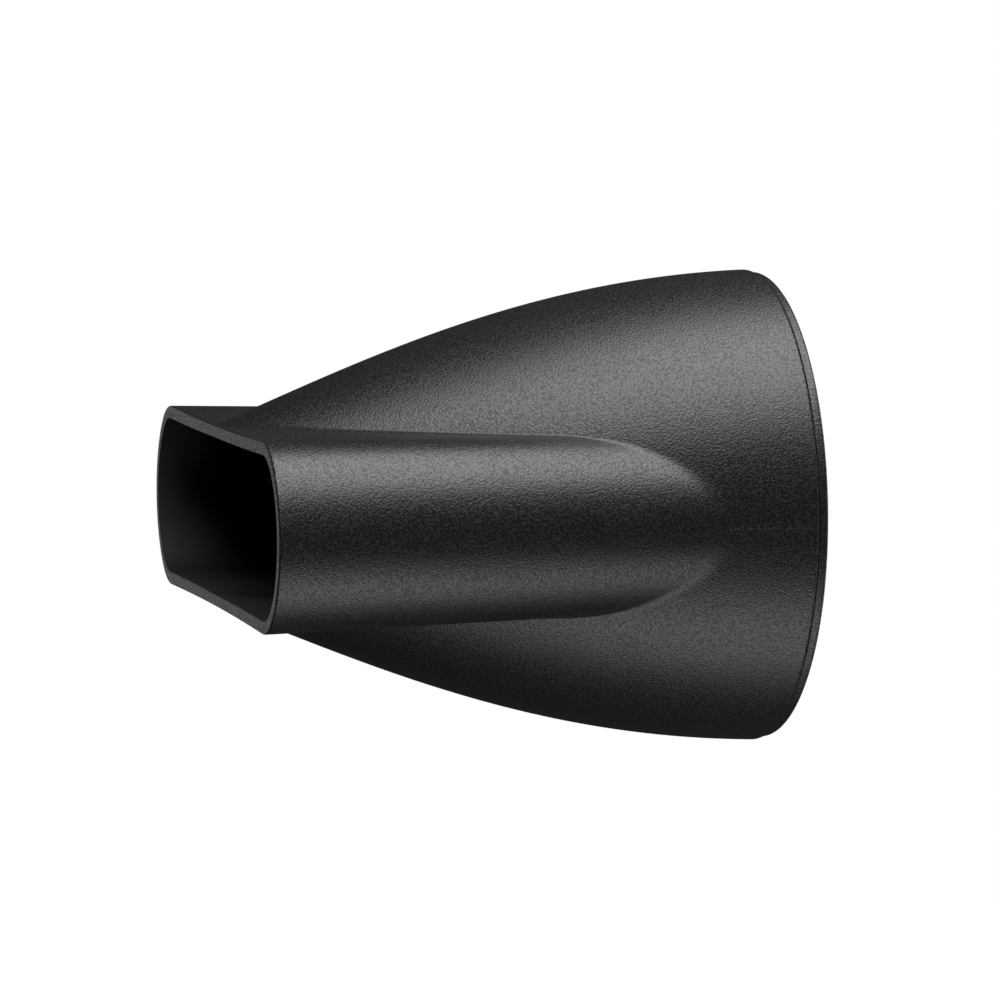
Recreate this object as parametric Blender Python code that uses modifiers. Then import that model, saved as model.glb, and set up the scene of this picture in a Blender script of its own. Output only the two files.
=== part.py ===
"""Styling nozzle for a hair dryer.

A moulded shell narrows the air from a round skirt to a wide flat slot. A ring closes the
back of the shell and traps the flange of a sleeve, which grips the dryer's barrel with
spring fingers. The shell and its ring turn on the sleeve, so the slot can be set at any
angle.

The nozzle's axis is the world's X axis. It blows towards -X, the slot is wide along Y and
thin along Z, and the origin is the centre of the ring's rear face. A station is a distance
in front of that face. Every piece is modelled with its stations along its own +Z and is
then turned so that +Z points to -X.
"""

import math

import bmesh
import bpy
import numpy as np

MM = 0.001

# Overall sizes
NOZZLE_LENGTH = 77.6 * MM           # rear face of the ring to the lips of the slot
BARREL_DIAMETER = 50.0 * MM         # the dryer's barrel, which sets the nozzle's own diameter
MOUTH_WIDTH = 82.2 * MM             # across the slot's bowed sides, at the lips
MOUTH_HEIGHT = 25.5 * MM            # over the slot's flat faces, at the lips
SHELL_WALL = 1.8 * MM

# The slot
SLOT_SIDE_BOW = 8.3 * MM            # how far each side stands out past its two corners
SLOT_CORNER_RADIUS = 9.0 * MM
SLOT_DRAFT = 0.012                  # half-height lost for each unit of length, going back
LIP_PINCH = 0.30 * MM               # how far each flat face dips at its middle, at the lips
PINCH_LENGTH = 30.0 * MM            # the dip fades out over this length
LIP_ROUNDING = 0.45 * MM
RIDGE_ROOT = 13.6 * MM              # station where the slot's sides sink into the skirt

# The skirt's outline, as one Bezier curve from the rear edge to the lips
SKIRT_FRONT_STEP = 0.5 * MM         # how far it ends below the slot's faces, at the lips
SKIRT_REAR_SLOPE = 0.033
SKIRT_FRONT_SLOPE = 0.41
SKIRT_REAR_HANDLE = 0.413           # handle lengths, as shares of the curve's length
SKIRT_FRONT_HANDLE = 0.28
REAR_EDGE_ROUNDING = 0.6 * MM
FACE_BLEND = 1.4 * MM               # smoothing where the flat faces run into the skirt
RIDGE_BLEND = 0.45 * MM             # smoothing along the ridges' sides
BLEND_FADE = 9.0 * MM               # the smoothing fades out over this length at the lips

# The rear ring
RING_STEP = 0.4 * MM                # how much smaller its radius is than the shell's
RING_THICKNESS = 1.5 * MM
RING_ROUNDING = 0.45 * MM
RING_INNER_ROUNDING = 0.4 * MM      # on its bore and on the front of its spigot
SPIGOT_LENGTH = 2.6 * MM            # how far the ring reaches into the shell

# The barrel sleeve
BARREL_CLEARANCE = 0.15 * MM
SLEEVE_WALL = 1.6 * MM
SLEEVE_LENGTH = 22.0 * MM
SLEEVE_RECESS = 0.6 * MM            # its rear edge, in front of the ring's rear face
LEAD_IN = 0.9 * MM
FLANGE_THICKNESS = 3.8 * MM
FLANGE_REACH = 4.15 * MM            # how far the flange stands out from the sleeve
FINGER_ROOT = 3.1 * MM              # solid sleeve between the flange and the slits
SLIT_COUNT = 8
SLIT_WIDTH = 1.6 * MM
BEAD_HEIGHT = 0.55 * MM
BEAD_FROM_TIP = 5.0 * MM
STOP_HEIGHT = 1.5 * MM              # the finger tips' inward step that stops the barrel
STOP_THICKNESS = 1.2 * MM
TIP_ROUNDING = 0.5 * MM

# The rib inside the shell that the sleeve's flange bears on
RIB_THICKNESS = 1.8 * MM

# The steel spring round the fingers, and the silicone ring that gives the turning its drag
WIRE_DIAMETER = 1.2 * MM
WIRE_GROOVE_DEPTH = 0.4 * MM
WIRE_OPENING = math.radians(24)
DRAG_RING_SECTION = 1.5 * MM

GAP = 0.3 * MM                      # left between pieces that touch or run on each other
RUNNING_CLEARANCE = 0.45 * MM       # round the sleeve, inside the ring

# Mesh fineness
SIDE_STEPS = 5
CORNER_STEPS = 5
FACE_STEPS = 10
OUTER_STATIONS = 24
INNER_STATIONS = 13
TURNED_STEPS = 56

# Stations and radii that follow from the sizes above
sleeve_bore = BARREL_DIAMETER / 2 + BARREL_CLEARANCE
sleeve_radius = sleeve_bore + SLEEVE_WALL
flange_radius = sleeve_radius + FLANGE_REACH
seat_radius = flange_radius + GAP
shell_radius = seat_radius + SHELL_WALL
shell_rear = RING_THICKNESS + GAP
spigot_front = shell_rear + SPIGOT_LENGTH
flange_rear = spigot_front + GAP
flange_front = flange_rear + FLANGE_THICKNESS
rib_rear = flange_front + GAP
rib_front = rib_rear + RIB_THICKNESS
slit_rear = flange_front + FINGER_ROOT
sleeve_front = SLEEVE_RECESS + SLEEVE_LENGTH
bead_station = sleeve_front - BEAD_FROM_TIP
wire_groove_radius = sleeve_radius - WIRE_GROOVE_DEPTH
wire_radius = wire_groove_radius + GAP + WIRE_DIAMETER / 2
rib_bore = wire_radius + WIRE_DIAMETER / 2 + 2 * GAP
drag_ring_radius = flange_radius - DRAG_RING_SECTION / 2
drag_groove_radius = drag_ring_radius - DRAG_RING_SECTION / 2 - GAP


def clear_scene():
    for item in list(bpy.data.objects):
        bpy.data.objects.remove(item, do_unlink=True)


def new_collection(name):
    group = bpy.data.collections.new(name)
    bpy.context.scene.collection.children.link(group)
    return group


def plastic_or_metal(name, colour, roughness, metallic=0.0):
    material = bpy.data.materials.new(name)
    material.use_nodes = True
    shader = material.node_tree.nodes["Principled BSDF"]
    shader.inputs["Base Color"].default_value = (*colour, 1.0)
    shader.inputs["Roughness"].default_value = roughness
    shader.inputs["Metallic"].default_value = metallic
    return material


def add_piece(name, mesh, group, material=None):
    piece = bpy.data.objects.new(name, mesh)
    group.objects.link(piece)
    piece.rotation_euler.y = -math.pi / 2
    if material:
        piece.data.materials.append(material)
    return piece


def skirt_radius(station):
    """Outer radius of the round skirt at a station."""
    length = NOZZLE_LENGTH - shell_rear
    rear = np.array([shell_rear, shell_radius])
    front = np.array([NOZZLE_LENGTH, MOUTH_HEIGHT / 2 - SKIRT_FRONT_STEP])
    rear_handle = rear + SKIRT_REAR_HANDLE * length * np.array([1, -SKIRT_REAR_SLOPE])
    front_handle = front - SKIRT_FRONT_HANDLE * length * np.array([1, -SKIRT_FRONT_SLOPE])
    t = np.linspace(0, 1, 200)[:, None]
    curve = ((1 - t) ** 3 * rear + 3 * (1 - t) ** 2 * t * rear_handle
             + 3 * (1 - t) * t ** 2 * front_handle + t ** 3 * front)
    return float(np.interp(station, curve[:, 0], curve[:, 1]))


def slot_section(station):
    """Half-width, half-height and dip of the slot's outer outline at a station."""
    mouth_half = MOUTH_WIDTH / 2
    spread = (mouth_half - skirt_radius(RIDGE_ROOT)) / (NOZZLE_LENGTH - RIDGE_ROOT)
    back = NOZZLE_LENGTH - station
    half_width = mouth_half - spread * back
    half_height = MOUTH_HEIGHT / 2 - SLOT_DRAFT * back
    dip = LIP_PINCH * max(0.0, 1 - back / PINCH_LENGTH)
    return half_width, half_height, dip


def slot_outline(station, inset):
    """Points round a quarter of the slot, from the middle of a side to the middle of a face.

    The inner skin follows the outer one, moved in by the inset all the way round.
    Returns the points' polar angles and reaches, and the angles where the corner starts and
    ends.
    """
    half_width, half_height, dip = slot_section(station)
    bow = SLOT_SIDE_BOW
    side_radius = (half_height ** 2 + bow ** 2) / (2 * bow)
    side_centre = half_width - side_radius
    rise = half_height - SLOT_CORNER_RADIUS
    corner_run = math.sqrt((side_radius - SLOT_CORNER_RADIUS) ** 2 - rise ** 2)
    corner_y = side_centre + corner_run
    tangent = math.atan2(rise, corner_run)
    side_reach = side_radius - inset
    corner_reach = SLOT_CORNER_RADIUS - inset
    sweep = np.linspace(0, tangent, 12)
    side = np.stack([side_centre + side_reach * np.cos(sweep), side_reach * np.sin(sweep)])
    sweep = np.linspace(tangent, math.pi / 2, 12)
    bend = np.stack([corner_y + corner_reach * np.cos(sweep), rise + corner_reach * np.sin(sweep)])
    y = np.linspace(corner_y, 0, 14)
    face = np.stack([y, half_height - inset - dip * (1 - (y / corner_y) ** 2)])
    points = np.concatenate([side, bend[:, 1:], face[:, 1:]], axis=1)
    angles = np.arctan2(points[1], points[0])
    reaches = np.hypot(points[0], points[1])
    return angles, reaches, angles[len(side[0]) - 1], angles[len(side[0]) + len(bend[0]) - 2]


def section_angles(station, inset):
    """Polar angles of one section's points, with some always on the slot's corners."""
    _, _, corner_start, corner_end = slot_outline(station, inset)
    quarter = np.concatenate([
        np.linspace(0, corner_start, SIDE_STEPS + 1)[:-1],
        np.linspace(corner_start, corner_end, CORNER_STEPS + 1)[:-1],
        np.linspace(corner_end, math.pi / 2, FACE_STEPS + 1),
    ])
    half = np.concatenate([quarter, math.pi - quarter[-2::-1]])
    return np.concatenate([half, math.pi + half[1:-1]])


def shell_section(station, inset=0.0):
    """Angles and reaches of the shell's outer skin at a station, or of its inner skin."""
    angles = section_angles(station, inset)
    folded = np.abs(np.arctan2(np.abs(np.sin(angles)), np.abs(np.cos(angles))))
    outline_angles, outline_reaches, _, corner_end = slot_outline(station, inset)
    slot = np.interp(folded, outline_angles, outline_reaches)
    slope = (skirt_radius(station - MM) - skirt_radius(station + MM)) / (2 * MM)
    skirt = skirt_radius(station) - inset * math.hypot(1, slope)
    share = np.clip((folded - corner_end) / (math.pi / 2 - corner_end), 0, 1)
    fade = np.clip((NOZZLE_LENGTH - station) / BLEND_FADE, 0.02, 1)
    blend = fade * (RIDGE_BLEND + (FACE_BLEND - RIDGE_BLEND) * share)
    overlap = np.maximum(blend - np.abs(slot - skirt), 0)
    return angles, np.maximum(slot, skirt) + overlap ** 2 / (4 * blend)


def round_section(station, radius):
    angles = section_angles(station, SHELL_WALL)
    return angles, np.full(len(angles), radius)


def shell_sections():
    """The shell's closed skin, section by section: out, round the lips and back inside."""
    sections = []
    for turn in np.radians([0, 30, 60, 90]):
        station = shell_rear + REAR_EDGE_ROUNDING * (1 - math.sin(turn))
        angles, reaches = shell_section(station)
        sections.append((station, angles, reaches - REAR_EDGE_ROUNDING * (1 - math.cos(turn))))
    sections.reverse()
    first = shell_rear + REAR_EDGE_ROUNDING
    last = NOZZLE_LENGTH - LIP_ROUNDING
    for station in np.linspace(first, last, OUTER_STATIONS)[1:]:
        sections.append((station, *shell_section(station)))
    for turn in np.radians([45, 90]):
        station = last + LIP_ROUNDING * math.sin(turn)
        angles, reaches = shell_section(last)
        sections.append((station, angles, reaches - LIP_ROUNDING * (1 - math.cos(turn))))
    angles, reaches = shell_section(last, SHELL_WALL)
    sections.append((NOZZLE_LENGTH, angles, reaches + LIP_ROUNDING / 2))
    for station in np.linspace(NOZZLE_LENGTH - LIP_ROUNDING / 2, rib_front, INNER_STATIONS):
        sections.append((station, *shell_section(station, SHELL_WALL)))
    for station, radius in (
        (rib_front, rib_bore),
        (rib_rear, rib_bore),
        (rib_rear, seat_radius),
        (shell_rear, seat_radius),
    ):
        sections.append((station, *round_section(station, radius)))
    return sections


def loft(name, sections):
    """Closed skin through sections that run round and come back to the first one."""
    mesh = bpy.data.meshes.new(name)
    skin = bmesh.new()
    rings = []
    for station, angles, reaches in sections:
        rings.append([
            skin.verts.new((reach * math.sin(angle), reach * math.cos(angle), station))
            for angle, reach in zip(angles, reaches)
        ])
    for ring, following in zip(rings, rings[1:] + rings[:1]):
        for i in range(len(ring)):
            j = (i + 1) % len(ring)
            skin.faces.new((ring[i], ring[j], following[j], following[i]))
    bmesh.ops.recalc_face_normals(skin, faces=skin.faces)
    skin.to_mesh(mesh)
    skin.free()
    mesh.shade_smooth()
    mesh.set_sharp_from_angle(angle=math.radians(35))
    return mesh


def rounded_outline(points):
    """Outline points from (radius, station, rounding) corners, each rounding an arc."""
    outline = []
    for i, (radius, station, rounding) in enumerate(points):
        here = np.array([radius, station])
        if not rounding:
            outline.append(here)
            continue
        before = np.array(points[i - 1][:2]) - here
        after = np.array(points[(i + 1) % len(points)][:2]) - here
        start = here + rounding * before / np.linalg.norm(before)
        end = here + rounding * after / np.linalg.norm(after)
        for t in np.linspace(0, 1, 4):
            outline.append((1 - t) ** 2 * start + 2 * (1 - t) * t * here + t ** 2 * end)
    return outline


def turned(name, points, group, material):
    """Ring turned from a closed outline that runs from front to back down its outer side."""
    mesh = bpy.data.meshes.new(name)
    profile = bmesh.new()
    verts = [profile.verts.new((radius, 0, station)) for radius, station in rounded_outline(points)]
    for i, vert in enumerate(verts):
        profile.edges.new((vert, verts[(i + 1) % len(verts)]))
    profile.to_mesh(mesh)
    profile.free()
    piece = add_piece(name, mesh, group, material)
    screw = piece.modifiers.new("Screw", "SCREW")
    screw.axis = "Z"
    screw.angle = 2 * math.pi
    screw.steps = TURNED_STEPS
    screw.render_steps = TURNED_STEPS
    screw.use_merge_vertices = True
    screw.merge_threshold = 0.00001
    return piece


def outer_shell(group, material):
    add_piece("outer_shell", loft("outer_shell", shell_sections()), group, material)


def rear_ring(group, material):
    """Closing ring: a flange behind the shell's edge and a spigot inside its seat."""
    radius = shell_radius - RING_STEP
    spigot = seat_radius - GAP
    bore = sleeve_radius + RUNNING_CLEARANCE
    turned("rear_ring", [
        (spigot, spigot_front, RING_INNER_ROUNDING),
        (spigot, RING_THICKNESS, 0),
        (radius, RING_THICKNESS, 0),
        (radius, 0, RING_ROUNDING),
        (bore, 0, RING_INNER_ROUNDING),
        (bore, spigot_front, 0),
    ], group, material)


def barrel_sleeve(group, material, cutters):
    """Socket for the dryer's barrel: a flange that the shell turns on, and spring fingers."""
    groove_half = WIRE_DIAMETER / 2 + GAP
    drag_half = DRAG_RING_SECTION / 2 + GAP
    drag_station = (flange_rear + flange_front) / 2
    bead_half = 2 * BEAD_HEIGHT
    stop_rear = sleeve_front - STOP_THICKNESS
    sleeve = turned("barrel_sleeve", [
        (sleeve_radius, sleeve_front, TIP_ROUNDING),
        (sleeve_radius, bead_station + groove_half, 0),
        (wire_groove_radius, bead_station + groove_half, 0),
        (wire_groove_radius, bead_station - groove_half, 0),
        (sleeve_radius, bead_station - groove_half, 0),
        (sleeve_radius, flange_front, 0),
        (flange_radius, flange_front, 0),
        (flange_radius, drag_station + drag_half, 0),
        (drag_groove_radius, drag_station + drag_half, 0),
        (drag_groove_radius, drag_station - drag_half, 0),
        (flange_radius, drag_station - drag_half, 0),
        (flange_radius, flange_rear, 0),
        (sleeve_radius, flange_rear, 0),
        (sleeve_radius, SLEEVE_RECESS, 0),
        (sleeve_bore + LEAD_IN, SLEEVE_RECESS, 0),
        (sleeve_bore, SLEEVE_RECESS + 2 * LEAD_IN, 0),
        (sleeve_bore, bead_station - bead_half, 0),
        (sleeve_bore - BEAD_HEIGHT, bead_station, 0),
        (sleeve_bore, bead_station + bead_half, 0),
        (sleeve_bore, stop_rear, 0),
        (sleeve_bore - STOP_HEIGHT, stop_rear, 0),
        (sleeve_bore - STOP_HEIGHT, sleeve_front, 0),
    ], group, material)
    slit_front = sleeve_front + SLIT_WIDTH     # the cutters run past the tips
    for i in range(SLIT_COUNT // 2):
        mesh = bpy.data.meshes.new(f"slit_cutter_{i + 1}")
        block = bmesh.new()
        bmesh.ops.create_cube(block, size=1)
        bmesh.ops.scale(block, vec=(4 * sleeve_radius, SLIT_WIDTH, slit_front - slit_rear),
                        verts=block.verts)
        bmesh.ops.translate(block, vec=(0, 0, (slit_front + slit_rear) / 2), verts=block.verts)
        block.to_mesh(mesh)
        block.free()
        cutter = bpy.data.objects.new(mesh.name, mesh)
        cutters.objects.link(cutter)
        turn = math.pi * 2 * (i + 0.5) / SLIT_COUNT
        cutter.rotation_mode = "ZYX"
        cutter.rotation_euler = (0, -math.pi / 2, turn)
        cutter.hide_render = True
        cutter.display_type = "WIRE"
        cut = sleeve.modifiers.new(f"Slit {i + 1}", "BOOLEAN")
        cut.operation = "DIFFERENCE"
        cut.solver = "EXACT"
        cut.object = cutter


def grip_spring(group, material):
    """Open ring of spring wire in the groove round the fingers, with its gap underneath."""
    curve = bpy.data.curves.new("grip_spring", "CURVE")
    curve.dimensions = "3D"
    curve.bevel_depth = WIRE_DIAMETER / 2
    curve.bevel_resolution = 2
    curve.use_fill_caps = True
    start = math.pi + WIRE_OPENING / 2
    turns = np.linspace(start, start + 2 * math.pi - WIRE_OPENING, TURNED_STEPS)
    spline = curve.splines.new("POLY")
    spline.points.add(len(turns) - 1)
    for point, turn in zip(spline.points, turns):
        point.co = (wire_radius * math.cos(turn), wire_radius * math.sin(turn), bead_station, 1)
    add_piece("grip_spring", curve, group, material)


def drag_ring(group, material):
    """Silicone ring in the flange's groove, which rubs in the shell's seat."""
    bpy.ops.mesh.primitive_torus_add(
        major_radius=drag_ring_radius,
        minor_radius=DRAG_RING_SECTION / 2,
        major_segments=TURNED_STEPS,
        minor_segments=8,
    )
    ring = bpy.context.object
    ring.name = "drag_ring"
    for owner in ring.users_collection:
        owner.objects.unlink(ring)
    group.objects.link(ring)
    ring.location.x = -(flange_rear + flange_front) / 2
    ring.rotation_euler.y = -math.pi / 2
    ring.data.materials.append(material)
    ring.data.shade_smooth()


def main():
    clear_scene()
    pieces = new_collection("styling_nozzle")
    cutters = new_collection("cutters")
    shell_plastic = plastic_or_metal("textured_black_plastic", (0.012, 0.012, 0.014), 0.5)
    sleeve_plastic = plastic_or_metal("natural_black_nylon", (0.014, 0.014, 0.014), 0.45)
    steel = plastic_or_metal("spring_steel", (0.55, 0.55, 0.54), 0.3, 1.0)
    silicone = plastic_or_metal("grey_silicone", (0.06, 0.06, 0.065), 0.6)
    outer_shell(pieces, shell_plastic)
    rear_ring(pieces, shell_plastic)
    barrel_sleeve(pieces, sleeve_plastic, cutters)
    grip_spring(pieces, steel)
    drag_ring(pieces, silicone)


main()
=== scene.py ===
"""Finished look of a hair dryer's concentrator nozzle, built round its CAD frame.

The nozzle's axis is the world's X axis and it blows towards -X. A station is a distance in
front of the ring's rear face, so a point at a station has x = -station. Angles run round the
axis from the side of the slot (+Y) to the middle of its upper face (+Z).
"""

import math

import bmesh
import bpy
import numpy as np
from bpy.props import FloatProperty, FloatVectorProperty, IntProperty, PointerProperty
from mathutils import Matrix, Vector


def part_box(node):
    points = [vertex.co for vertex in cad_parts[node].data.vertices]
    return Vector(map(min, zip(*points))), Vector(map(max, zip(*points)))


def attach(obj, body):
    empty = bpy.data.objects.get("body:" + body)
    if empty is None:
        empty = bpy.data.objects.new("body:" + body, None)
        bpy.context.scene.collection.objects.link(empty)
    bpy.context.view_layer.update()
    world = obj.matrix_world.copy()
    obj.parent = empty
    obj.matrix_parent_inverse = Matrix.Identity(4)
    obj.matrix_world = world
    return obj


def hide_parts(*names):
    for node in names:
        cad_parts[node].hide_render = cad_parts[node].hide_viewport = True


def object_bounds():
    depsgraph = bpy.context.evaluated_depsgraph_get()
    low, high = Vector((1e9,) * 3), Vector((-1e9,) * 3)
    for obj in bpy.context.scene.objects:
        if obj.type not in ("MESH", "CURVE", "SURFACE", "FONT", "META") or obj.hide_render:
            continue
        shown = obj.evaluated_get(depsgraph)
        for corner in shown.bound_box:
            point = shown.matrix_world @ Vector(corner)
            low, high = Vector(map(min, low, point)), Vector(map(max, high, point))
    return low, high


bl_info = {
    "name": "Concentrator nozzle",
    "version": (1, 0, 0),
    "blender": (4, 5, 0),
    "location": "View3D > Sidebar > Nozzle",
    "description": "Builds the finished pieces of a hair dryer's concentrator nozzle and its stage",
    "category": "Object",
}

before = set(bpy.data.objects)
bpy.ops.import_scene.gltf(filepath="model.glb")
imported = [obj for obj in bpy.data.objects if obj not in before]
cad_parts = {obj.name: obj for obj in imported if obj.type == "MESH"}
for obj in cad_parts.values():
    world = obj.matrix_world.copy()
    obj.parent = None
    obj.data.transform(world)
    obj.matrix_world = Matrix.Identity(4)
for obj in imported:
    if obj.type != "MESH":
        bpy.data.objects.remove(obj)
cad_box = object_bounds()

MM = 0.001
GAP = 0.3 * MM                  # between pieces that touch or run on each other
MERGE_DISTANCE = 0.0005 * MM
SHARP_ANGLE = math.radians(35)  # edges that bend more than this are shaded as edges

shell_low, shell_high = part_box("outer_shell")
ring_low, ring_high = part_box("rear_ring")
sleeve_low, sleeve_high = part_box("barrel_sleeve")
spring_low, spring_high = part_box("grip_spring")
drag_low, drag_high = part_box("drag_ring")


def hex_colour(text):
    """Linear red, green and blue of an sRGB hex value."""
    channels = [int(text[i:i + 2], 16) / 255 for i in (1, 3, 5)]
    return tuple(c / 12.92 if c <= 0.04045 else ((c + 0.055) / 1.055) ** 2.4 for c in channels)


def length_property(name, description, default):
    return FloatProperty(
        name=name, description=description, default=default, unit="LENGTH", precision=5
    )


def colour_property(name, description, default):
    return FloatVectorProperty(
        name=name, description=description, default=hex_colour(default), subtype="COLOR",
        size=3, min=0, max=1,
    )


# Sizes and colours that a user would change

class ShellSizes(bpy.types.PropertyGroup):
    length: length_property("Length", "Ring's rear face to the lips", -shell_low.x)
    rear: length_property("Rear edge", "Station of the shell's rear edge", 1.45 * MM)
    radius: length_property("Skirt radius", "Outside, at the rear edge", shell_high.z)
    mouth_half: length_property("Mouth half-width", "Across the bowed sides", 41.1 * MM)
    mouth_half_height: length_property("Mouth half-height", "At the lips", 12.75 * MM)
    wall: length_property("Wall", "Thickness of the moulding", 1.8 * MM)
    side_bow: length_property("Side bow", "How far a side stands out past its corners", 8.3 * MM)
    corner: length_property("Corner radius", "Of the slot's four corners", 9 * MM)
    pinch: length_property("Lip pinch", "Dip of each flat face at the lips", 0.3 * MM)
    pinch_length: length_property("Pinch length", "How far back the dip reaches", 30 * MM)
    ridge_root: length_property("Ridge root", "Station where the slot leaves the skirt", 13.6 * MM)
    skirt_front: length_property("Skirt front", "Radius the skirt would have at the lips", 12.25 * MM)
    lip_rounding: length_property("Lip rounding", "Outside edge of the lips", 0.3 * MM)
    lip_chamfer: length_property("Lip chamfer", "Inside edge of the lips", 0.2 * MM)
    rear_rounding: length_property("Rear rounding", "Outside edge behind the skirt", 0.35 * MM)
    rib_rear: length_property("Rib rear", "Station of the rib that the flange runs on", 8.8 * MM)
    rib_thickness: length_property("Rib", "Its thickness", 1.8 * MM)
    steps_round: IntProperty(name="Steps round", description="Over a quarter turn", default=98)


class RingSizes(bpy.types.PropertyGroup):
    radius: length_property("Radius", "Outside of the ring", ring_high.z)
    bore: length_property("Bore radius", "Round the barrel sleeve", 27.2 * MM)
    spigot_front: length_property("Spigot front", "Station of its front edge", -ring_low.x)
    thickness: length_property("Thickness", "Of the part behind the shell", 1.31 * MM)
    rounding: length_property("Rounding", "Outside edge", 0.45 * MM)
    steps: IntProperty(name="Steps", description="Segments round the axis", default=288)


class SleeveSizes(bpy.types.PropertyGroup):
    front: length_property("Front", "Station of the finger tips", -sleeve_low.x)
    rear: length_property("Rear", "Station of the rear edge", -sleeve_high.x)
    flange_radius: length_property("Flange radius", "Outside of the flange", sleeve_high.z)
    bore: length_property("Bore radius", "For the dryer's barrel", 25.15 * MM)
    wall: length_property("Wall", "Thickness of the fingers", 1.6 * MM)
    flange_rear: length_property("Flange rear", "Station of its rear face", 4.7 * MM)
    flange_front: length_property("Flange front", "Station of its front face", 8.5 * MM)
    lead_in: length_property("Lead-in", "Height of the bevel that guides the barrel", 0.9 * MM)
    slit_width: length_property("Slit width", "Between two fingers", 1.6 * MM)
    slit_rear: length_property("Slit rear", "Station where the slits end", 11.6 * MM)
    bead: length_property("Bead", "Height of the bead inside the fingers", 0.55 * MM)
    stop: length_property("Stop", "Height of the step that stops the barrel", 1.5 * MM)
    stop_thickness: length_property("Stop thickness", "Along the axis", 1.2 * MM)
    groove_depth: length_property("Groove depth", "For the spring wire", 0.4 * MM)
    fingers: IntProperty(name="Fingers", description="Spring fingers", default=8)


class SpringSizes(bpy.types.PropertyGroup):
    wire: length_property("Wire", "Diameter of the spring wire", 1.2 * MM)
    opening: FloatProperty(
        name="Opening", description="Angle between the wire's ends", subtype="ANGLE",
        default=math.radians(24),
    )


class DragRingSizes(bpy.types.PropertyGroup):
    section: length_property("Section", "Diameter of the silicone cord", 1.5 * MM)


class Finishes(bpy.types.PropertyGroup):
    plastic: colour_property("Textured plastic", "Outside of the shell", "#121215")
    # The inside's colour is partly the smooth finish's own tone and partly painted shade: it is set darker
    # than the outside's so that the inside of the mouth reads darker
    core_side: colour_property("Smooth plastic", "Inside of the shell", "#0d0d0f")
    nylon: colour_property("Nylon", "Barrel sleeve", "#1f1f20")
    steel: colour_property("Steel", "Spring wire", "#c3c4c4")
    silicone: colour_property("Silicone", "Drag ring", "#47484a")
    grain: length_property("Grain", "Pit to pit on the textured plastic", 0.26 * MM)
    grain_depth: length_property("Grain depth", "From a pit's floor to the land", 0.042 * MM)


class StageSettings(bpy.types.PropertyGroup):
    floor_drop: length_property("Floor drop", "Floor below the nozzle", 75 * MM)
    floor: colour_property("Floor", "Opal sheet, lit from below", "#f4f4f3")
    key_power: FloatProperty(name="Key power", description="Overhead softbox", default=6.4, unit="POWER")
    fill_power: FloatProperty(name="Fill power", description="Low in front", default=0.74, unit="POWER")
    rim_power: FloatProperty(name="Rim power", description="Behind", default=0.2, unit="POWER")
    side_power: FloatProperty(name="Side power", description="Past the ring", default=2.2, unit="POWER")
    glow: FloatProperty(name="Floor glow", description="Light from under the floor", default=0.45)


# Small tools

def place(station, radius, angle):
    return Vector((-station, radius * math.cos(angle), radius * math.sin(angle)))


def per_metre(size):
    """Scale of a pattern whose real repeat is this long."""
    return 1 / size


def finish_piece(name, shape, body, node, materials):
    """Closes a modelled shape, gives it its materials and hands it to the frame."""
    bmesh.ops.remove_doubles(shape, verts=shape.verts, dist=MERGE_DISTANCE)
    bmesh.ops.recalc_face_normals(shape, faces=shape.faces)
    mesh = bpy.data.meshes.new(name)
    shape.to_mesh(mesh)
    shape.free()
    mesh.shade_smooth()
    mesh.set_sharp_from_angle(angle=SHARP_ANGLE)
    for material in materials:
        mesh.materials.append(material)
    piece = bpy.data.objects.new(name, mesh)
    bpy.context.scene.collection.objects.link(piece)
    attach(piece, body)
    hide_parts(node)
    return piece


def add_node(tree, kind, inputs=None, **settings):
    """A shader node with its settings, and its inputs set or linked."""
    node = tree.nodes.new(kind)
    for name, value in settings.items():
        setattr(node, name, value)
    for socket, value in (inputs or {}).items():
        if isinstance(value, bpy.types.NodeSocket):
            tree.links.new(value, node.inputs[socket])
        else:
            node.inputs[socket].default_value = value
    return node


def new_material(name, **values):
    """A material whose shader has these values, and its tree, shader and object coordinates."""
    material = bpy.data.materials.new(name)
    material.use_nodes = True
    tree = material.node_tree
    shader = tree.nodes["Principled BSDF"]
    for socket, value in values.items():
        shader.inputs[socket.replace("_", " ")].default_value = value
    coordinates = add_node(tree, "ShaderNodeTexCoord")
    return material, tree, shader, coordinates.outputs["Object"]


def between(tree, factor, low, high, start=0.0, end=1.0):
    """A value that goes from low to high as the factor goes from start to end."""
    node = add_node(tree, "ShaderNodeMapRange", {
        "Value": factor, "From Min": start, "From Max": end, "To Min": low, "To Max": high,
    })
    return node.outputs["Result"]


def shade_between(tree, factor, dark, light):
    node = add_node(tree, "ShaderNodeMix", {"Factor": factor, "A": dark, "B": light}, data_type="RGBA")
    return node.outputs["Result"]


# Materials

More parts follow.
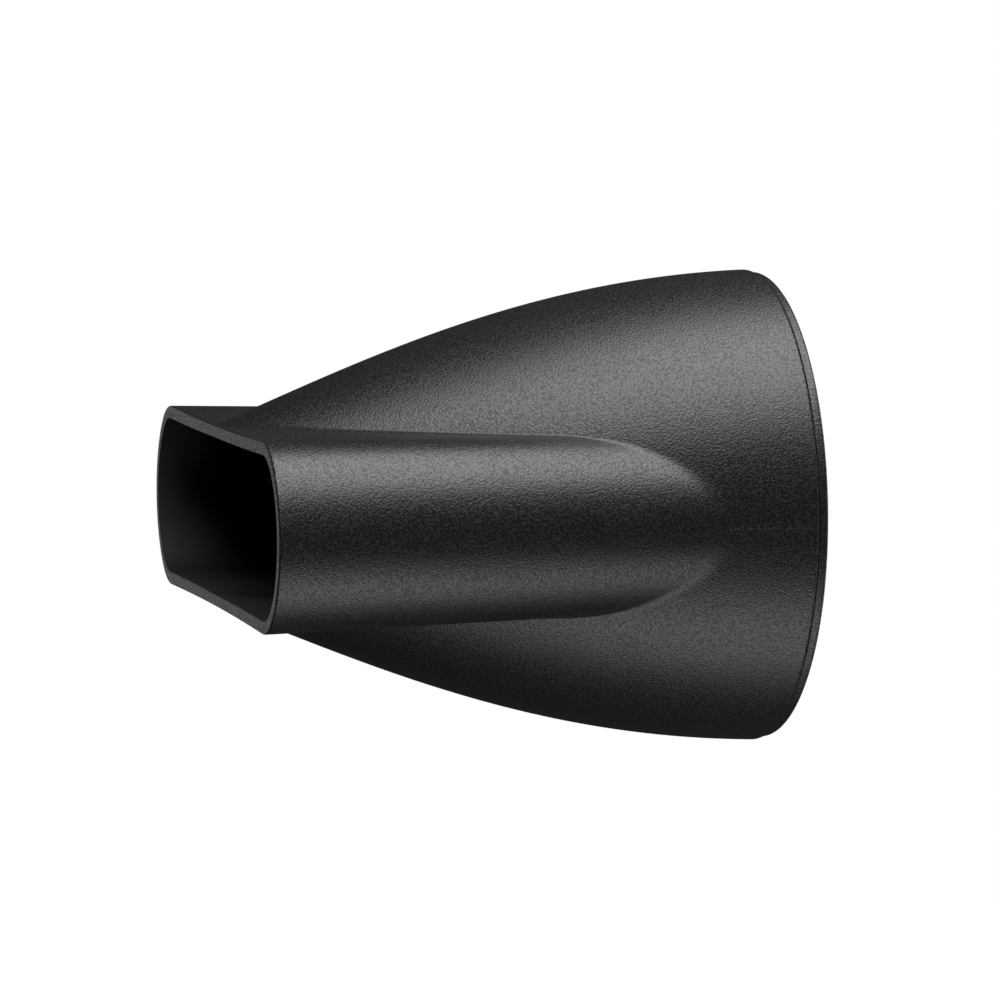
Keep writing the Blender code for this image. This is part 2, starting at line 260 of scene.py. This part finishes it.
def spark_eroded_plastic(name, finishes):
    """Heat-resistant nylon moulded against a spark-eroded cavity.

    The cavity's craters leave close round pits, which break a light into a soft grey sheen
    and show as grain where that sheen fades.
    """
    pit_pitch = 1.15 * finishes.grain
    pit_depth = 0.7                 # beside the finer grain's depth
    handling_pitch = 18 * MM
    material, tree, shader, where = new_material(name, IOR=1.53)
    grain = add_node(tree, "ShaderNodeTexNoise", {
        "Vector": where, "Scale": per_metre(finishes.grain), "Detail": 1.0, "Roughness": 0.5,
    })
    pits = add_node(tree, "ShaderNodeTexVoronoi", {
        "Vector": where, "Scale": per_metre(pit_pitch), "Smoothness": 0.4,
    }, feature="SMOOTH_F1")
    height = add_node(tree, "ShaderNodeMath", {
        0: pits.outputs["Distance"], 1: pit_depth, 2: grain.outputs["Fac"],
    }, operation="MULTIPLY_ADD")
    bump = add_node(tree, "ShaderNodeBump", {
        "Height": height.outputs[0], "Strength": 1.0, "Distance": finishes.grain_depth,
    })
    handling = add_node(tree, "ShaderNodeTexNoise", {
        "Vector": where, "Scale": per_metre(handling_pitch), "Detail": 3.0,
    })
    # The craters' floors are glossy and the lands between them dull
    pitted = between(tree, pits.outputs["Distance"], 0.22, 0.54, 0.15, 0.75)
    worn = between(tree, handling.outputs["Fac"], -0.02, 0.02)
    roughness = add_node(tree, "ShaderNodeMath", {0: pitted, 1: worn}, operation="ADD")
    # Painted shade and light of the grain: the colour is dark where the grain's bumps are low and light
    # where they are high
    hollow_shade = tuple(0.3 * c for c in finishes.plastic) + (1,)
    rise_light = tuple(1.9 * c for c in finishes.plastic) + (1,)
    share = between(tree, grain.outputs["Fac"], 0, 1, 0.3, 0.7)
    tree.links.new(shade_between(tree, share, hollow_shade, rise_light), shader.inputs["Base Color"])
    tree.links.new(roughness.outputs[0], shader.inputs["Roughness"])
    tree.links.new(bump.outputs["Normal"], shader.inputs["Normal"])
    return material


def core_side_plastic(name, colour, low, high):
    """The same nylon against a stoned steel core: satin, with a trace of the stone.

    The stone's own lines are finer than this and are drawn as coarse as they need to show.
    """
    material, tree, shader, where = new_material(name, IOR=1.53)
    stoning = add_node(tree, "ShaderNodeTexNoise", {
        "Vector": where, "Scale": per_metre(0.16 * MM), "Detail": 1.0,
    })
    flow = add_node(tree, "ShaderNodeTexNoise", {
        "Vector": where, "Scale": per_metre(9 * MM), "Detail": 3.0,
    })
    bump = add_node(tree, "ShaderNodeBump", {
        "Height": stoning.outputs["Fac"], "Strength": 0.2, "Distance": 0.02 * MM,
    })
    dark = (*colour, 1)
    light = tuple(1.2 * c for c in colour) + (1,)
    tree.links.new(shade_between(tree, flow.outputs["Fac"], dark, light), shader.inputs["Base Color"])
    tree.links.new(between(tree, flow.outputs["Fac"], low, high), shader.inputs["Roughness"])
    tree.links.new(bump.outputs["Normal"], shader.inputs["Normal"])
    return material


def drawn_steel(finishes):
    """Spring steel wire, drawn through a die: fine lines along the wire, a hard bright line of light."""
    material, tree, shader, where = new_material("drawn_spring_steel", Metallic=1.0)
    parts = add_node(tree, "ShaderNodeSeparateXYZ", {"Vector": where})
    across = add_node(tree, "ShaderNodeCombineXYZ", {"X": parts.outputs["Y"], "Y": parts.outputs["Z"]})
    reach = add_node(tree, "ShaderNodeVectorMath", {0: across.outputs["Vector"]}, operation="LENGTH")
    lines_at = add_node(tree, "ShaderNodeCombineXYZ", {
        "X": parts.outputs["X"], "Y": reach.outputs["Value"],
    })
    lines = add_node(tree, "ShaderNodeTexNoise", {
        "Vector": lines_at.outputs["Vector"], "Scale": per_metre(0.06 * MM), "Detail": 2.0,
    })
    bump = add_node(tree, "ShaderNodeBump", {
        "Height": lines.outputs["Fac"], "Strength": 0.25, "Distance": 0.01 * MM,
    })
    dark = tuple(0.8 * c for c in finishes.steel) + (1,)
    light = (*finishes.steel, 1)
    tree.links.new(shade_between(tree, lines.outputs["Fac"], dark, light), shader.inputs["Base Color"])
    tree.links.new(between(tree, lines.outputs["Fac"], 0.22, 0.36), shader.inputs["Roughness"])
    tree.links.new(bump.outputs["Normal"], shader.inputs["Normal"])
    return material


def moulded_silicone(finishes):
    """Silicone rubber, press-moulded and powdered: dull, with a bloom that lifts its edges."""
    material, tree, shader, where = new_material("moulded_grey_silicone", IOR=1.43)
    bloom = add_node(tree, "ShaderNodeTexNoise", {
        "Vector": where, "Scale": per_metre(1.2 * MM), "Detail": 4.0,
    })
    dark = (*finishes.silicone, 1)
    light = tuple(1.5 * c for c in finishes.silicone) + (1,)
    tree.links.new(shade_between(tree, bloom.outputs["Fac"], dark, light), shader.inputs["Base Color"])
    tree.links.new(between(tree, bloom.outputs["Fac"], 0.55, 0.75), shader.inputs["Roughness"])
    return material


# The shell's shape

SKIRT_REAR_SLOPE = 0.033
SKIRT_FRONT_SLOPE = 0.41
SKIRT_REAR_HANDLE = 0.413       # Bezier handle lengths, as shares of the skirt's length
SKIRT_FRONT_HANDLE = 0.28
SLOT_DRAFT = 0.012              # half-height lost for each unit of length, going back
FACE_BLEND = 1.2 * MM           # smoothing where the slot's flat faces run into the skirt
RIDGE_BLEND = 0.4 * MM          # smoothing along the ridges that the slot's sides make
BLEND_FADE = 9.0 * MM           # the smoothing fades out over this length at the lips
SHUT_LINE_HEIGHT = 0.03 * MM    # witness of the joint between the two halves of the mould
SHUT_LINE_HALF = 0.14 * MM
SHUT_LINE_FADE = 5.0 * MM       # it is polished away on the ridges, from just past their root
BEND_WEIGHT = 1.6               # how strongly points gather where a section bends
BEND_WINDOW = 81                # of the samples below, over which the gathering is smoothed
FINE_SAMPLES = 2400
CURVE_SAMPLES = 400             # along the skirt
ARC_SAMPLES = 60                # on each of the slot's arcs and faces, over a quarter turn
ARCH_FRONT = 32 * MM            # sections are close together from the rear edge to here
ARCH_PITCH = 0.34 * MM
SLOT_PITCH = 0.55 * MM
INSIDE_SECTIONS = 50
RIB_CLEARANCE = 0.6 * MM        # between the rib and the spring wire


def skirt_radius(sizes, station):
    """Outer radius of the round skirt at a station."""
    length = sizes.length - sizes.rear
    rear = np.array([sizes.rear, sizes.radius])
    front = np.array([sizes.length, sizes.skirt_front])
    rear_handle = rear + SKIRT_REAR_HANDLE * length * np.array([1, -SKIRT_REAR_SLOPE])
    front_handle = front - SKIRT_FRONT_HANDLE * length * np.array([1, -SKIRT_FRONT_SLOPE])
    t = np.linspace(0, 1, CURVE_SAMPLES)[:, None]
    curve = ((1 - t) ** 3 * rear + 3 * (1 - t) ** 2 * t * rear_handle
             + 3 * (1 - t) * t ** 2 * front_handle + t ** 3 * front)
    return float(np.interp(station, curve[:, 0], curve[:, 1]))


def slot_outline(sizes, station, inset):
    """Angles and reaches round a quarter of the slot, and the angle where its corner ends."""
    root_radius = skirt_radius(sizes, sizes.ridge_root)
    spread = (sizes.mouth_half - root_radius) / (sizes.length - sizes.ridge_root)
    back = sizes.length - station
    half_width = sizes.mouth_half - spread * back
    half_height = sizes.mouth_half_height - SLOT_DRAFT * back
    dip = sizes.pinch * max(0.0, 1 - back / sizes.pinch_length)
    side_radius = (half_height ** 2 + sizes.side_bow ** 2) / (2 * sizes.side_bow)
    side_centre = half_width - side_radius
    rise = half_height - sizes.corner
    run = math.sqrt((side_radius - sizes.corner) ** 2 - rise ** 2)
    tangent = math.atan2(rise, run)
    side_reach, corner_reach = side_radius - inset, sizes.corner - inset
    sweep = np.linspace(0, tangent, ARC_SAMPLES)
    side = np.stack([side_centre + side_reach * np.cos(sweep), side_reach * np.sin(sweep)])
    sweep = np.linspace(tangent, math.pi / 2, ARC_SAMPLES)
    bend = np.stack([
        side_centre + run + corner_reach * np.cos(sweep), rise + corner_reach * np.sin(sweep),
    ])
    y = np.linspace(side_centre + run, 0, ARC_SAMPLES)
    face = np.stack([y, half_height - inset - dip * (1 - (y / y[0]) ** 2)])
    points = np.concatenate([side, bend[:, 1:], face[:, 1:]], axis=1)
    angles = np.arctan2(points[1], points[0])
    return angles, np.hypot(points[0], points[1]), angles[len(side[0]) + len(bend[0]) - 2]


def skin_reach(sizes, station, inset, angles):
    """Reach of the shell's skin over a quarter turn: the slot and the skirt, run together."""
    outline_angles, outline_reaches, corner_end = slot_outline(sizes, station, inset)
    slot = np.interp(angles, outline_angles, outline_reaches)
    slope = (skirt_radius(sizes, station - MM) - skirt_radius(sizes, station + MM)) / (2 * MM)
    skirt = skirt_radius(sizes, station) - inset * math.hypot(1, slope)
    share = np.clip((angles - corner_end) / (math.pi / 2 - corner_end), 0, 1)
    fade = np.clip((sizes.length - station) / BLEND_FADE, 0.02, 1)
    blend = fade * (RIDGE_BLEND + (FACE_BLEND - RIDGE_BLEND) * share)
    overlap = np.maximum(blend - np.abs(slot - skirt), 0)
    return np.maximum(slot, skirt) + overlap ** 2 / (4 * blend)


def gathered_angles(sizes, station, inset):
    """Angles over a quarter turn, closer together where the section bends."""
    fine = np.linspace(0, math.pi / 2, FINE_SAMPLES)
    reach = skin_reach(sizes, station, inset, fine)
    y, z = reach * np.cos(fine), reach * np.sin(fine)
    steps = np.hypot(np.diff(y), np.diff(z))
    heading = np.unwrap(np.arctan2(np.diff(z), np.diff(y)))
    window = np.hanning(BEND_WINDOW)
    turning = np.abs(np.diff(heading, prepend=heading[0]))
    turning = np.convolve(turning, window / window.sum(), mode="same")
    measure = np.cumsum(steps / steps.sum() + BEND_WEIGHT * turning / (math.pi / 2))
    first = 2 * SHUT_LINE_HALF / reach[0]
    start = np.interp(first, fine[1:], measure)
    wanted = np.linspace(start, measure[-1], sizes.steps_round - 3)
    spread = np.interp(wanted, measure, fine[1:])
    return np.concatenate([np.array([0, 0.25, 0.5, 1]) * first, spread[1:-1], [math.pi / 2]])


def skin_section(sizes, station, inset=0.0, shrink=0.0, radius=None):
    """One whole section: its station, and its angles and reaches all the way round."""
    quarter = gathered_angles(sizes, station, inset)
    if radius is None:
        reach = skin_reach(sizes, station, inset, quarter) - shrink
    else:
        reach = np.full(len(quarter), radius)
    if inset == 0:
        off = quarter * reach / SHUT_LINE_HALF
        left = min(max(0, 1 - (station - sizes.ridge_root) / SHUT_LINE_FADE), 1)
        reach = reach + left * SHUT_LINE_HEIGHT * np.maximum(1 - off ** 2, 0)
    half = np.concatenate([quarter, math.pi - quarter[-2::-1]])
    half_reach = np.concatenate([reach, reach[-2::-1]])
    angles = np.concatenate([half, math.pi + half[1:-1]])
    return station, angles, np.concatenate([half_reach, half_reach[1:-1]])


def outside_sections(sizes):
    """Sections of the shell's outer skin, from its rear edge to the outside of its lips."""
    first = sizes.rear + sizes.rear_rounding
    last = sizes.length - sizes.lip_rounding
    sections = []
    for turn in np.radians([90, 75, 60, 45, 30, 15]):
        back = sizes.rear_rounding * math.sin(turn)
        sections.append(skin_section(sizes, first - back, 0.0, sizes.rear_rounding * (1 - math.cos(turn))))
    for station in np.arange(first, ARCH_FRONT, ARCH_PITCH):
        sections.append(skin_section(sizes, station))
    for station in np.linspace(ARCH_FRONT, last, round((last - ARCH_FRONT) / SLOT_PITCH)):
        sections.append(skin_section(sizes, station))
    _, angles, reaches = sections[-1]
    for turn in np.radians([18, 36, 54, 72, 90]):
        sections.append((last + sizes.lip_rounding * math.sin(turn), angles,
                         reaches - sizes.lip_rounding * (1 - math.cos(turn))))
    return sections


def inside_sections(sizes):
    """Sections from the inside of the lips back to the seat that takes the ring and the sleeve."""
    edge = sizes.lip_chamfer
    last = sizes.length - edge
    _, angles, reaches = skin_section(sizes, last, sizes.wall)
    sections = []
    for turn in np.radians([90, 60, 30]):
        sections.append((last + edge * math.sin(turn), angles, reaches + edge * (1 - math.cos(turn))))
    rib_front = sizes.rib_rear + sizes.rib_thickness
    for station in np.linspace(last, rib_front, INSIDE_SECTIONS):
        sections.append(skin_section(sizes, station, sizes.wall))
    seat = sizes.radius - sizes.wall
    rib_bore = spring_high.z + RIB_CLEARANCE
    for station, radius in (
        (rib_front, rib_bore), (sizes.rib_rear, rib_bore), (sizes.rib_rear, seat), (sizes.rear, seat),
    ):
        sections.append(skin_section(sizes, station, sizes.wall, radius=radius))
    return sections


def wrapped_skin(sections, outside):
    """Grid wrapped into one closed skin through the sections, its inside on the second material."""
    along, around = len(sections), len(sections[0][1])
    shape = bmesh.new()
    bmesh.ops.create_grid(shape, x_segments=along, y_segments=around, size=0.5)
    for face in shape.faces:
        face.material_index = int((face.calc_center_median().x + 0.5) * along) >= outside
    for vert in shape.verts:
        i = round((vert.co.x + 0.5) * along) % along
        j = round((vert.co.y + 0.5) * around) % around
        station, angles, reaches = sections[i]
        vert.co = place(station, reaches[j], angles[j])
    return shape


class NOZZLE_OT_shell(bpy.types.Operator):
    """Moulded shell: a round skirt that runs into a wide flat slot"""
    bl_idname = "nozzle.shell"
    bl_label = "Shell"

    def execute(self, context):
        sizes = context.scene.nozzle_shell
        finishes = context.scene.nozzle_finishes
        outer = outside_sections(sizes)
        shape = wrapped_skin(outer + inside_sections(sizes), len(outer))
        materials = [
            spark_eroded_plastic("spark_eroded_nylon_shell", finishes),
            # Its colour, darker than the outside's, is partly painted shade inside the mouth
            core_side_plastic("stoned_black_nylon", finishes.core_side, 0.72, 0.82),
        ]
        finish_piece("shell_moulding", shape, "shell", "outer_shell", materials)
        return {"FINISHED"}


# Turned pieces

SLIT_STEPS = 8                  # round the axis, across a slit
FINGER_STEPS = 28               # and across a finger
CORD_STEPS = 240                # and for the wire and the silicone cord
CORD_SEGMENTS = 24              # round their own section


def outline(shape, corners):
    """Closed outline beside the axis, from corners with a radius, a station and a rounding."""
    verts = [shape.verts.new(place(station, radius, 0)) for radius, station, _ in corners]
    shape.faces.new(verts)
    for vert, (_, _, rounding) in zip(verts, corners):
        if rounding:
            bmesh.ops.bevel(
                shape, geom=[vert], offset=rounding, offset_type="OFFSET", segments=5,
                profile=0.5, affect="VERTICES", clamp_overlap=True, material=-1,
            )
    bmesh.ops.delete(shape, geom=shape.faces[:], context="FACES_ONLY")
    return shape.verts[:] + shape.edges[:]


def spun(shape, geometry, turn, steps, merge=False):
    """Turns an outline about the nozzle's axis, and returns what it ends on."""
    made = bmesh.ops.spin(
        shape, geom=geometry, cent=(0, 0, 0), axis=(1, 0, 0), angle=turn, steps=steps,
        use_merge=merge, use_duplicate=False,
    )
    return made["geom_last"]


def wire_section(shape, radius, station, reach, angle):
    """Round outline of a wire or cord, standing across its run."""
    made = bmesh.ops.create_circle(shape, segments=CORD_SEGMENTS, radius=radius)
    bmesh.ops.translate(shape, verts=made["verts"], vec=place(station, reach, 0))
    bmesh.ops.rotate(shape, verts=made["verts"], cent=(0, 0, 0), matrix=Matrix.Rotation(angle, 3, "X"))
    return shape.verts[:] + shape.edges[:]


class NOZZLE_OT_ring(bpy.types.Operator):
    """Ring welded in the shell's back edge, which traps the sleeve's flange"""
    bl_idname = "nozzle.ring"
    bl_label = "Rear ring"

    def execute(self, context):
        sizes = context.scene.nozzle_ring
        shell = context.scene.nozzle_shell
        spigot = shell.radius - shell.wall - GAP
        shape = bmesh.new()
        geometry = outline(shape, [
            (spigot, sizes.spigot_front, 0.4 * MM),
            (spigot, sizes.thickness, 0),
            (sizes.radius, sizes.thickness, 0.12 * MM),
            (sizes.radius, 0, sizes.rounding),
            (sizes.bore, 0, 0.4 * MM),
            (sizes.bore, sizes.spigot_front, 0.15 * MM),
        ])
        spun(shape, geometry, 2 * math.pi, sizes.steps, merge=True)
        finishes = context.scene.nozzle_finishes
        plastic = spark_eroded_plastic("spark_eroded_nylon_ring", finishes)
        finish_piece("ring_moulding", shape, "shell", "rear_ring", [plastic])
        return {"FINISHED"}


def fingered_sleeve(sizes, spring, drag):
    """The sleeve's outline, turned step by step, with a slit left out between two fingers."""
    outside = sizes.bore + sizes.wall
    groove = outside - sizes.groove_depth
    bead_station = -(spring_low.x + spring_high.x) / 2
    groove_half = spring.wire / 2 + GAP
    drag_station = (sizes.flange_rear + sizes.flange_front) / 2
    drag_half = drag.section / 2 + GAP
    drag_groove = sizes.flange_radius - drag.section - GAP
    slit_end = sizes.slit_rear + sizes.slit_width / 2
    stop_rear = sizes.front - sizes.stop_thickness
    shape = bmesh.new()
    geometry = outline(shape, [
        (outside, sizes.front, 0.5 * MM),
        (outside, bead_station + groove_half, 0),
        (groove, bead_station + groove_half, 0.15 * MM),
        (groove, bead_station - groove_half, 0.15 * MM),
        (outside, bead_station - groove_half, 0),
        (outside, slit_end, 0),
        (outside, sizes.flange_front, 0.3 * MM),
        (sizes.flange_radius, sizes.flange_front, 0.25 * MM),
        (sizes.flange_radius, drag_station + drag_half, 0),
        (drag_groove, drag_station + drag_half, 0.15 * MM),
        (drag_groove, drag_station - drag_half, 0.15 * MM),
        (sizes.flange_radius, drag_station - drag_half, 0),
        (sizes.flange_radius, sizes.flange_rear, 0.25 * MM),
        (outside, sizes.flange_rear, 0.3 * MM),
        (outside, sizes.rear, 0.15 * MM),
        (sizes.bore + sizes.lead_in, sizes.rear, 0.2 * MM),
        (sizes.bore, sizes.rear + 2 * sizes.lead_in, 0.4 * MM),
        (sizes.bore, slit_end, 0),
        (sizes.bore, bead_station - 2 * sizes.bead, 0.3 * MM),
        (sizes.bore - sizes.bead, bead_station, 0.4 * MM),
        (sizes.bore, bead_station + 2 * sizes.bead, 0.3 * MM),
        (sizes.bore, stop_rear, 0.2 * MM),
        (sizes.bore - sizes.stop, stop_rear, 0),
        (sizes.bore - sizes.stop, sizes.front, 0.25 * MM),
    ])
    pitch = 2 * math.pi / sizes.fingers
    slit_turn = 2 * math.asin(sizes.slit_width / 2 / (sizes.bore + sizes.wall / 2))
    for _ in range(sizes.fingers):
        geometry = spun(shape, geometry, slit_turn, SLIT_STEPS)
        geometry = spun(shape, geometry, pitch - slit_turn, FINGER_STEPS)
    bmesh.ops.remove_doubles(shape, verts=shape.verts, dist=MERGE_DISTANCE)
    open_slits(shape, pitch, slit_turn, slit_end, sizes)
    turn = Matrix.Rotation((pitch - slit_turn) / 2, 3, "X")
    bmesh.ops.rotate(shape, verts=shape.verts, cent=(0, 0, 0), matrix=turn)
    return shape


def open_slits(shape, pitch, slit_turn, slit_end, sizes):
    """Takes the skin out of the slits, and closes their floors, round, and their sides."""
    tiny = 0.002 * MM

    def turn_of(point):
        return math.atan2(point.z, point.y) % pitch

    gone = [
        face for face in shape.faces
        if -face.calc_center_median().x > slit_end and turn_of(face.calc_center_median()) < slit_turn
    ]
    bmesh.ops.delete(shape, geom=gone, context="FACES")
    floor_edges = [
        edge for edge in shape.edges
        if edge.is_boundary and all(abs(-vert.co.x - slit_end) < tiny for vert in edge.verts)
    ]
    for finger in range(sizes.fingers):
        start = finger * pitch
        here = []
        for edge in floor_edges:
            middle = (edge.verts[0].co + edge.verts[1].co) / 2
            turn = math.atan2(middle.z, middle.y) % (2 * math.pi)
            if start < turn < start + slit_turn:
                here.append(edge)
        bmesh.ops.bridge_loops(shape, edges=here)
    sides = [edge for edge in shape.edges if edge.is_boundary]
    bmesh.ops.holes_fill(shape, edges=sides, sides=0)
    half = sizes.slit_width / 2
    for vert in shape.verts:
        if abs(-vert.co.x - slit_end) > tiny:
            continue
        off = math.hypot(vert.co.y, vert.co.z) * math.sin(turn_of(vert.co) - slit_turn / 2)
        if abs(off) < half and turn_of(vert.co) < slit_turn:
            vert.co.x += math.sqrt(half ** 2 - off ** 2)


class NOZZLE_OT_sleeve(bpy.types.Operator):
    """Socket for the dryer's barrel, with a flange and eight spring fingers"""
    bl_idname = "nozzle.sleeve"
    bl_label = "Barrel sleeve"

    def execute(self, context):
        scene = context.scene
        shape = fingered_sleeve(scene.nozzle_sleeve, scene.nozzle_spring, scene.nozzle_drag_ring)
        nylon = core_side_plastic("glass_filled_nylon", scene.nozzle_finishes.nylon, 0.38, 0.5)
        finish_piece("sleeve_moulding", shape, "socket", "barrel_sleeve", [nylon])
        return {"FINISHED"}


class NOZZLE_OT_spring(bpy.types.Operator):
    """Open ring of spring wire in the groove round the fingers"""
    bl_idname = "nozzle.spring"
    bl_label = "Grip spring"

    def execute(self, context):
        sizes = context.scene.nozzle_spring
        station = -(spring_low.x + spring_high.x) / 2
        reach = spring_high.z - sizes.wire / 2
        start = sizes.opening / 2 - math.pi / 2
        shape = bmesh.new()
        geometry = wire_section(shape, sizes.wire / 2, station, reach, start)
        spun(shape, geometry, 2 * math.pi - sizes.opening, CORD_STEPS)
        ends = bmesh.ops.holes_fill(shape, edges=[e for e in shape.edges if e.is_boundary], sides=0)
        rims = {edge for face in ends["faces"] for edge in face.edges}
        bmesh.ops.bevel(shape, geom=list(rims), offset=0.2 * MM, offset_type="OFFSET", segments=3,
                        profile=0.5, affect="EDGES", clamp_overlap=True, material=-1)
        steel = drawn_steel(context.scene.nozzle_finishes)
        finish_piece("spring_wire", shape, "socket", "grip_spring", [steel])
        return {"FINISHED"}


class NOZZLE_OT_drag_ring(bpy.types.Operator):
    """Silicone ring in the flange's groove"""
    bl_idname = "nozzle.drag_ring"
    bl_label = "Drag ring"

    def execute(self, context):
        sizes = context.scene.nozzle_drag_ring
        station = -(drag_low.x + drag_high.x) / 2
        shape = bmesh.new()
        reach = drag_high.z - sizes.section / 2
        geometry = wire_section(shape, sizes.section / 2, station, reach, 0)
        spun(shape, geometry, 2 * math.pi, CORD_STEPS, merge=True)
        silicone = moulded_silicone(context.scene.nozzle_finishes)
        finish_piece("silicone_ring", shape, "socket", "drag_ring", [silicone])
        return {"FINISHED"}


# Stage

CAMERA_AZIMUTH = math.radians(-14.87)
CAMERA_ELEVATION = math.radians(5.5)
CAMERA_ROLL = math.radians(0.25)
CAMERA_DISTANCE = 750 * MM
CAMERA_LENS = 194.7
CAMERA_TARGET = Vector((-37.22 * MM, 0, 1.35 * MM))
CAMERA_RANGE = 20
FLOOR_RADIUS = 320 * MM
FLOOR_TOOTH = 0.8 * MM
KEY_TURN = math.radians(8)
ROOM_LIGHT = 0.03


def softbox(name, location, aim, width, height, power, turn=0.0):
    """Rectangular softbox that faces a point, turned about the vertical."""
    light = bpy.data.lights.new(name, "AREA")
    light.shape = "RECTANGLE"
    light.size = width
    light.size_y = height
    light.energy = power
    lamp = bpy.data.objects.new(name, light)
    bpy.context.scene.collection.objects.link(lamp)
    lamp.location = location
    facing = (Vector(aim) - Vector(location)).to_track_quat("-Z", "Y").to_matrix()
    lamp.rotation_euler = (Matrix.Rotation(turn, 3, "Z") @ facing).to_euler()
    lamp.visible_camera = False


def camera():
    """Long lens, a little above the nozzle and a little to the side of its slot."""
    azimuth, elevation = CAMERA_AZIMUTH, CAMERA_ELEVATION
    back = Vector((
        math.sin(azimuth) * math.cos(elevation),
        -math.cos(azimuth) * math.cos(elevation),
        math.sin(elevation),
    ))
    right = Vector((math.cos(azimuth), math.sin(azimuth), 0))
    up = back.cross(right)
    rolled_right = right * math.cos(CAMERA_ROLL) + up * math.sin(CAMERA_ROLL)
    rolled_up = up * math.cos(CAMERA_ROLL) - right * math.sin(CAMERA_ROLL)
    lens = bpy.data.cameras.new("camera")
    lens.lens = CAMERA_LENS
    lens.clip_end = CAMERA_RANGE
    view = bpy.data.objects.new("camera", lens)
    bpy.context.scene.collection.objects.link(view)
    turn = Matrix((rolled_right, rolled_up, back)).transposed().to_4x4()
    view.matrix_world = Matrix.Translation(CAMERA_TARGET + back * CAMERA_DISTANCE) @ turn
    bpy.context.scene.camera = view


def surroundings():
    """Dim studio round the nozzle, behind a background that is seen as white paper."""
    world = bpy.data.worlds.new("studio")
    world.use_nodes = True
    tree = world.node_tree
    tree.nodes.clear()
    room = add_node(tree, "ShaderNodeBackground", {"Color": (0.9, 0.92, 1.0, 1), "Strength": ROOM_LIGHT})
    paper = add_node(tree, "ShaderNodeBackground", {"Color": (1, 1, 1, 1), "Strength": 1.0})
    path = add_node(tree, "ShaderNodeLightPath")
    both = add_node(tree, "ShaderNodeMixShader", {
        0: path.outputs["Is Camera Ray"], 1: room.outputs[0], 2: paper.outputs[0],
    })
    add_node(tree, "ShaderNodeOutputWorld", {"Surface": both.outputs[0]})
    bpy.context.scene.world = world


class NOZZLE_OT_stage(bpy.types.Operator):
    """Pale floor, softboxes and camera"""
    bl_idname = "nozzle.stage"
    bl_label = "Stage"

    def execute(self, context):
        settings = context.scene.nozzle_stage
        low, high = cad_box
        middle = (low + high) / 2
        shape = bmesh.new()
        bmesh.ops.create_circle(shape, cap_ends=True, segments=96, radius=FLOOR_RADIUS)
        bmesh.ops.translate(shape, verts=shape.verts, vec=(middle.x, 0, low.z - settings.floor_drop))
        mesh = bpy.data.meshes.new("floor")
        shape.to_mesh(mesh)
        shape.free()
        card, tree, shader, where = new_material(
            "opal_acrylic", Roughness=0.9, Emission_Color=(1, 1, 1, 1), Emission_Strength=settings.glow,
        )
        tooth = add_node(tree, "ShaderNodeTexNoise", {"Vector": where, "Scale": per_metre(FLOOR_TOOTH)})
        pale = (*settings.floor, 1)
        darker = tuple(0.97 * c for c in settings.floor) + (1,)
        tree.links.new(shade_between(tree, tooth.outputs["Fac"], darker, pale), shader.inputs["Base Color"])
        mesh.materials.append(card)
        floor = bpy.data.objects.new("floor", mesh)
        context.scene.collection.objects.link(floor)
        # Seen by the camera alone, so that the nozzle's underside keeps its dark bands
        floor.visible_glossy = False
        floor.visible_diffuse = False
        floor.visible_shadow = False
        softbox("overhead_softbox", (0.02, -0.155, 0.50), middle, 0.80, 0.47, settings.key_power,
                KEY_TURN)
        softbox("fill_softbox", (0.0, -0.20, -0.295), middle, 0.42, 0.25, settings.fill_power)
        softbox("rim_softbox", (-0.28, 0.66, -0.05), middle, 0.30, 0.40, settings.rim_power)
        softbox("side_softbox", (0.66, 0.22, -0.04), middle, 0.70, 0.70, settings.side_power)
        surroundings()
        camera()
        context.scene.view_settings.view_transform = "Standard"
        return {"FINISHED"}


class NOZZLE_PT_panel(bpy.types.Panel):
    """Lists the nozzle's pieces, and its sizes and colours"""
    bl_idname = "NOZZLE_PT_panel"
    bl_label = "Concentrator nozzle"
    bl_space_type = "VIEW_3D"
    bl_region_type = "UI"
    bl_category = "Nozzle"

    def draw(self, context):
        for operator, group in PIECES:
            box = self.layout.box()
            box.operator(operator.bl_idname)
            if group:
                settings = getattr(context.scene, group)
                for name in settings.__annotations__:
                    box.prop(settings, name)
        for name in Finishes.__annotations__:
            self.layout.prop(context.scene.nozzle_finishes, name)


PIECES = (
    (NOZZLE_OT_shell, "nozzle_shell"),
    (NOZZLE_OT_ring, "nozzle_ring"),
    (NOZZLE_OT_sleeve, "nozzle_sleeve"),
    (NOZZLE_OT_spring, "nozzle_spring"),
    (NOZZLE_OT_drag_ring, "nozzle_drag_ring"),
    (NOZZLE_OT_stage, "nozzle_stage"),
)
SETTINGS = {
    "nozzle_shell": ShellSizes,
    "nozzle_ring": RingSizes,
    "nozzle_sleeve": SleeveSizes,
    "nozzle_spring": SpringSizes,
    "nozzle_drag_ring": DragRingSizes,
    "nozzle_finishes": Finishes,
    "nozzle_stage": StageSettings,
}
CLASSES = (*SETTINGS.values(), *(operator for operator, _ in PIECES), NOZZLE_PT_panel)


def register():
    for item in CLASSES:
        bpy.utils.register_class(item)
    for name, group in SETTINGS.items():
        setattr(bpy.types.Scene, name, PointerProperty(type=group))


def unregister():
    for name in SETTINGS:
        delattr(bpy.types.Scene, name)
    for item in reversed(CLASSES):
        bpy.utils.unregister_class(item)


def main():
    register()
    bpy.ops.nozzle.shell()
    bpy.ops.nozzle.ring()
    bpy.ops.nozzle.sleeve()
    bpy.ops.nozzle.spring()
    bpy.ops.nozzle.drag_ring()
    bpy.ops.nozzle.stage()


if __name__ == "__main__":
    main()
